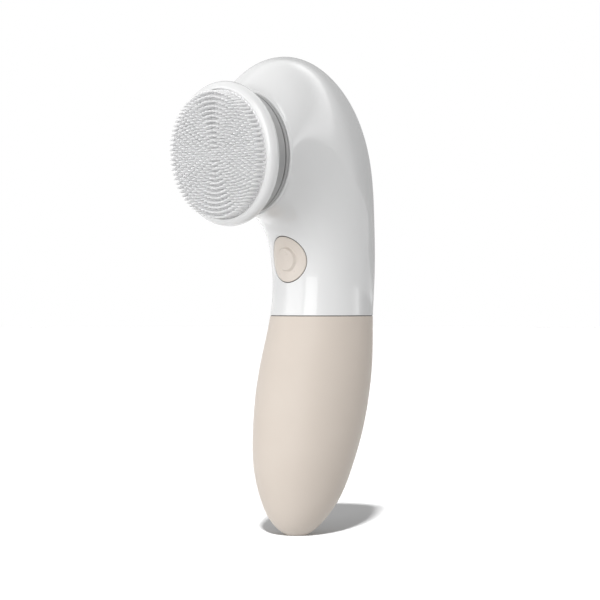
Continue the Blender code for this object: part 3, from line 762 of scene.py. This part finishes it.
def make_bristles(finish):
    """A silicone disc with rings of tapered bristles, six more in each ring than in the last."""
    chance = random.Random(BRISTLE_SEED)
    disc = [(0.0, 11.2), (22.55, 11.2), (22.6, 12.0)] + arc(22.25, 12.2, 0.35, 0.0, 90.0, 5)
    disc += [(20.0, BRISTLE_BASE), (12.0, BRISTLE_BASE), (5.0, BRISTLE_BASE), (0.0, BRISTLE_BASE)]
    base = turned_in_head("bristle_disc", disc, finish)
    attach(base, "brush_head")
    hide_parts("bristle_pad")

    builder = bmesh.new()
    length = BRISTLE_TIP - BRISTLE_BASE
    for number in range(BRISTLE_RINGS + 1):
        count = max(1, BRISTLES_PER_RING * number)
        for k in range(count):
            angle = 2.0 * math.pi * k / count + BRISTLE_TURN
            radius = BRISTLE_PITCH * number
            x = radius * math.cos(angle)
            y = radius * math.sin(angle)
            lean_x = chance.uniform(-BRISTLE_LEAN, BRISTLE_LEAN)
            lean_y = chance.uniform(-BRISTLE_LEAN, BRISTLE_LEAN)
            height = length * chance.uniform(BRISTLE_SHORTEST, 1.0)
            rings = []
            for along, thickness in BRISTLE_TAPER:
                px = x + lean_x * along ** 2
                py = y + lean_y * along ** 2
                h = BRISTLE_BASE - BRISTLE_ROOT_SINK + height * along
                r = BRISTLE_RADIUS * thickness
                ring = []
                for i in range(BRISTLE_SIDES):
                    turn = 2.0 * math.pi * i / BRISTLE_SIDES
                    spot = head_point(px + r * math.cos(turn), py + r * math.sin(turn), h)
                    ring.append(builder.verts.new(spot))
                rings.append(ring)
            point = head_point(x + lean_x, y + lean_y, BRISTLE_BASE + height)
            rings.append([builder.verts.new(point)])
            join_rings(builder, rings)
            builder.faces.new(rings[0])
    made = new_object("bristles", builder, finish, 60.0)
    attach(made, "brush_head")


# ---- Inner pieces keep their CAD shape and get their own finishes -------------------------------

def dress(names, finish):
    """Give CAD nodes a finish and leave their shape and place alone."""
    for name in names:
        node = frame["nodes"][name]
        for holder in [node] + list(node.children_recursive):
            if holder.type != "MESH":
                continue
            holder.data.materials.clear()
            holder.data.materials.append(finish)


def dress_inner_pieces():
    dress(["battery_bay_collar", "battery_carrier", "front_plate", "brush_hub"],
          moulded("inner_white", (0.74, 0.74, 0.73), (0.68, 0.68, 0.66)))
    dress(["gearbox_frame", "output_gear", "compound_gear"],
          moulded("gear_acetal", (0.76, 0.73, 0.66), (0.69, 0.66, 0.58), 0.4))
    dress(["tact_switch", "motor_end_cap"],
          moulded("black_plastic", (0.025, 0.025, 0.027), (0.04, 0.04, 0.042)))
    dress(["switch_plunger"],
          moulded("natural_nylon", (0.74, 0.7, 0.6), (0.68, 0.64, 0.54)))
    dress(["seam_o_ring", "shaft_seal"],
          moulded("black_rubber", (0.015, 0.015, 0.015), (0.03, 0.03, 0.03), 0.6))
    dress(["button_gasket"],
          silicone("grey_silicone", (0.4, 0.4, 0.4), (0.46, 0.46, 0.46)))
    dress(["control_pcb"],
          moulded("green_board", (0.02, 0.16, 0.06), (0.03, 0.24, 0.1), 0.35, 2400.0))
    dress(["battery_cell_left", "battery_cell_right"], cell_finish())
    dress(["contact_positive", "contact_bridge", "contact_spring_upper", "contact_spring_lower"],
          metal("nickel_plate", (0.68, 0.66, 0.61), (0.6, 0.57, 0.5), 0.25))
    dress(["battery_lead_positive", "motor_lead_positive"],
          moulded("red_lead", (0.5, 0.02, 0.02), (0.6, 0.04, 0.03), 0.4))
    dress(["battery_lead_negative", "motor_lead_negative"],
          moulded("black_lead", (0.02, 0.02, 0.02), (0.035, 0.035, 0.035), 0.4))
    dress(["spindle_bush"],
          metal("sintered_bronze", (0.42, 0.26, 0.12), (0.3, 0.18, 0.09), 0.5))
    dress(["motor_pinion", "motor_terminal_1", "motor_terminal_2"],
          metal("brass", (0.72, 0.52, 0.22), (0.62, 0.42, 0.16)))
    dress(["motor_magnet_1", "motor_magnet_2"],
          moulded("ferrite", (0.06, 0.06, 0.065), (0.09, 0.09, 0.09), 0.6))
    dress(["motor_rotor"],
          metal("armature", (0.45, 0.2, 0.09), (0.3, 0.14, 0.07), 0.4))
    screws = ["gearbox_screw_%d" % n for n in range(1, 5)] + ["motor_screw_1", "motor_screw_2"]
    dress(screws + ["idler_pin", "motor_shaft", "spindle_shaft", "retaining_clip", "motor_can"],
          metal("zinc_steel", (0.55, 0.55, 0.56), (0.42, 0.42, 0.44)))


def cell_finish():
    """A dark plain sleeve over the cell, slightly metallic."""
    f = Finish("cell_sleeve", (0.03, 0.035, 0.045), 0.3, 0.2)
    f.tint(f.noise(60.0, 3.0), (0.045, 0.05, 0.06))
    f.gloss(f.noise(200.0, 3.0), 0.25, 0.36)
    f.bump(f.noise(900.0, 2.0), 0.00001, 0.3)
    return f.material


# ---- Camera, floor and light --------------------------------------------------------------------

def make_camera():
    """A level camera, turned to the side. Returns the directions back to it and to its right."""
    data = bpy.data.cameras.new("camera")
    data.sensor_width = SENSOR_WIDTH
    data.lens = SENSOR_WIDTH * CAMERA_DISTANCE / VIEW_WIDTH
    camera = bpy.data.objects.new("camera", data)
    side = math.sqrt(0.5)
    back = Vector((side, -side, 0.0))
    right = Vector((side, side, 0.0))
    height = Vector((0.0, 0.0, CAMERA_HEIGHT))
    camera.location = back * CAMERA_DISTANCE + right * CAMERA_SIDE_STEP + height
    camera.rotation_euler = (math.radians(90.0), 0.0, math.radians(CAMERA_TURN_DEG))
    bpy.context.collection.objects.link(camera)
    bpy.context.scene.camera = camera
    return back, right


def area_light(name, place, target, width, height, power):
    """A rectangular white light that faces its target."""
    data = bpy.data.lights.new(name, "AREA")
    data.shape = "RECTANGLE"
    data.size = width
    data.size_y = height
    data.energy = power
    made = bpy.data.objects.new(name, data)
    made.location = place
    made.rotation_euler = (Vector(target) - Vector(place)).to_track_quat("-Z", "Y").to_euler()
    bpy.context.collection.objects.link(made)
    return made


def make_room(back, right):
    """Even light that is brighter above, a white backdrop, and bright areas for gloss to mirror."""
    scene = bpy.context.scene
    scene.view_settings.view_transform = "Standard"
    world = bpy.data.worlds.new("studio")
    scene.world = world
    world.use_nodes = True
    nodes = world.node_tree.nodes
    links = world.node_tree.links
    sky = nodes["Background"]
    place = nodes.new("ShaderNodeTexCoord")
    split = nodes.new("ShaderNodeSeparateXYZ")
    links.new(place.outputs["Generated"], split.inputs["Vector"])
    rise = nodes.new("ShaderNodeMapRange")
    rise.interpolation_type = "SMOOTHSTEP"
    rise.inputs["From Min"].default_value = -1.0
    rise.inputs["From Max"].default_value = 1.0
    rise.inputs["To Min"].default_value = LIGHT_BELOW
    rise.inputs["To Max"].default_value = LIGHT_ABOVE
    links.new(split.outputs["Z"], rise.inputs["Value"])
    path = nodes.new("ShaderNodeLightPath")

    def towards(direction):
        node = nodes.new("ShaderNodeVectorMath")
        node.operation = "DOT_PRODUCT"
        node.inputs[1].default_value = direction
        links.new(place.outputs["Generated"], node.inputs[0])
        return node.outputs["Value"]

    def smooth(source, start, end, first=0.0, last=1.0):
        node = nodes.new("ShaderNodeMapRange")
        node.interpolation_type = "SMOOTHSTEP"
        node.inputs["From Min"].default_value = start
        node.inputs["From Max"].default_value = end
        node.inputs["To Min"].default_value = first
        node.inputs["To Max"].default_value = last
        links.new(source, node.inputs["Value"])
        return node.outputs["Result"]

    def combine(operation, first, second):
        node = nodes.new("ShaderNodeMath")
        node.operation = operation
        links.new(first, node.inputs[0])
        links.new(second, node.inputs[1])
        return node.outputs["Value"]

    ahead = towards(back * SHEEN_BACK + Vector((0.0, 0.0, SHEEN_UP)))
    sideways = towards(right)
    open_front = smooth(ahead, *FRONT_SHEEN_START, 0.0, FRONT_SHEEN)
    open_left = smooth(sideways, *LEFT_SHEEN_END, LEFT_SHEEN, 0.0)
    edge_start = smooth(ahead, *EDGE_SHEEN_START)
    edge_end = smooth(ahead, *EDGE_SHEEN_END, EDGE_SHEEN, 0.0)
    edge = combine("MULTIPLY", edge_start, edge_end)
    edge = combine("MULTIPLY", edge, smooth(sideways, *EDGE_SHEEN_SIDE))
    gleam = combine("ADD", combine("MAXIMUM", open_front, open_left), edge)
    gleam = combine("MULTIPLY", gleam, path.outputs["Is Glossy Ray"])
    links.new(combine("ADD", gleam, rise.outputs["Result"]), sky.inputs["Strength"])
    sky.inputs["Color"].default_value = WHITE
    backdrop = nodes.new("ShaderNodeBackground")
    backdrop.inputs["Color"].default_value = WHITE
    mix = nodes.new("ShaderNodeMixShader")
    links.new(path.outputs["Is Camera Ray"], mix.inputs["Fac"])
    links.new(sky.outputs["Background"], mix.inputs[1])
    links.new(backdrop.outputs["Background"], mix.inputs[2])
    links.new(mix.outputs["Shader"], nodes["World Output"].inputs["Surface"])


def make_panels(back, right):
    """The soft boxes. The fills don't show in the gloss, and one box lights the bristles only."""
    up = Vector((0.0, 0.0, 1.0))
    target = up * PANEL_TARGET_HEIGHT

    def panel(name, azimuth, elevation, distance, width, height, radiance):
        """A soft box at an azimuth counted from the camera, to the right; radiance in W/m2/sr."""
        turn = math.radians(azimuth)
        rise = math.radians(elevation)
        level = back * math.cos(turn) + right * math.sin(turn)
        place = target + (level * math.cos(rise) + up * math.sin(rise)) * distance
        power = radiance * math.pi * width * height
        return area_light(name, place, target, width, height, power)

    panel("panel_left", *PANEL_LEFT)
    panel("wash_far_left", *WASH_FAR_LEFT)
    fill_low = panel("fill_low_front", *FILL_LOW_FRONT)
    fill_low.visible_glossy = False
    fill_behind = panel("fill_behind_right", *FILL_BEHIND_RIGHT)
    fill_behind.visible_glossy = False
    head_key = panel("head_key", *HEAD_KEY)
    only_head = bpy.data.collections.new("head_light_receivers")
    for name in ("bristles", "bristle_disc"):
        only_head.objects.link(bpy.data.objects[name])
    head_key.light_linking.receiver_collection = only_head


def make_floor():
    """A pale floor that neither tints the part nor holds back the fill from below."""
    floor_mesh = bpy.data.meshes.new("floor")
    builder = bmesh.new()
    bmesh.ops.create_circle(builder, cap_ends=True, radius=FLOOR_RADIUS, segments=64)
    builder.to_mesh(floor_mesh)
    builder.free()
    floor = bpy.data.objects.new("floor", floor_mesh)
    floor.location = (0.0, 0.0, -FLOOR_SINK)
    finish = bpy.data.materials.new("floor")
    finish.use_nodes = True
    shader = finish.node_tree.nodes["Principled BSDF"]
    shader.inputs["Base Color"].default_value = FLOOR_TONE
    shader.inputs["Roughness"].default_value = 0.9
    floor_mesh.materials.append(finish)
    bpy.context.collection.objects.link(floor)
    floor.visible_diffuse = False
    floor.visible_shadow = False
    return floor


def make_floor_sun(back, right, floor):
    """The sun from the camera's side lights the floor only, and the sleeve alone shades it."""
    up = Vector((0.0, 0.0, 1.0))
    sun_data = bpy.data.lights.new("floor_sun", "SUN")
    sun_data.energy = SUN_STRENGTH
    sun_data.angle = math.radians(SUN_ANGLE_DEG)
    sun = bpy.data.objects.new("floor_sun", sun_data)
    sun.rotation_euler = (back * SUN_BACK - right * SUN_LEFT + up).to_track_quat("Z", "Y").to_euler()
    bpy.context.collection.objects.link(sun)
    only_floor = bpy.data.collections.new("floor_light_receivers")
    only_floor.objects.link(floor)
    sun.light_linking.receiver_collection = only_floor
    handle_only = bpy.data.collections.new("floor_light_blockers")
    handle_only.objects.link(bpy.data.objects["cover_shell"])
    sun.light_linking.blocker_collection = handle_only


back, right = make_camera()
shell_white = white_gloss("white_gloss")
make_housing(shell_white)
make_cover(soft_touch("beige_soft_touch"))
make_button(button_finish("beige_button"))
# Painted shadow: near-black for the rings that fill the gaps round the button and along the seam.
gap_shadow_black = moulded("gap_shadow_black", (0.02, 0.018, 0.016), (0.03, 0.027, 0.024), 0.6)
make_button_gap_shadow(gap_shadow_black)
make_seam_gap_shadow(gap_shadow_black)
# Painted shade: the collar and skirt get a darker grey that stands for the shade in the recess under
# the cup's lip.
recess_shade_grey = moulded("grey_trim", (0.37, 0.37, 0.37), (0.40, 0.40, 0.40), 0.35)
make_collar(recess_shade_grey)
make_skirt(recess_shade_grey)
make_rim(shell_white)
make_bristles(bristle_silicone("clear_silicone"))
dress_inner_pieces()
make_room(back, right)
make_panels(back, right)
floor = make_floor()
make_floor_sun(back, right, floor)
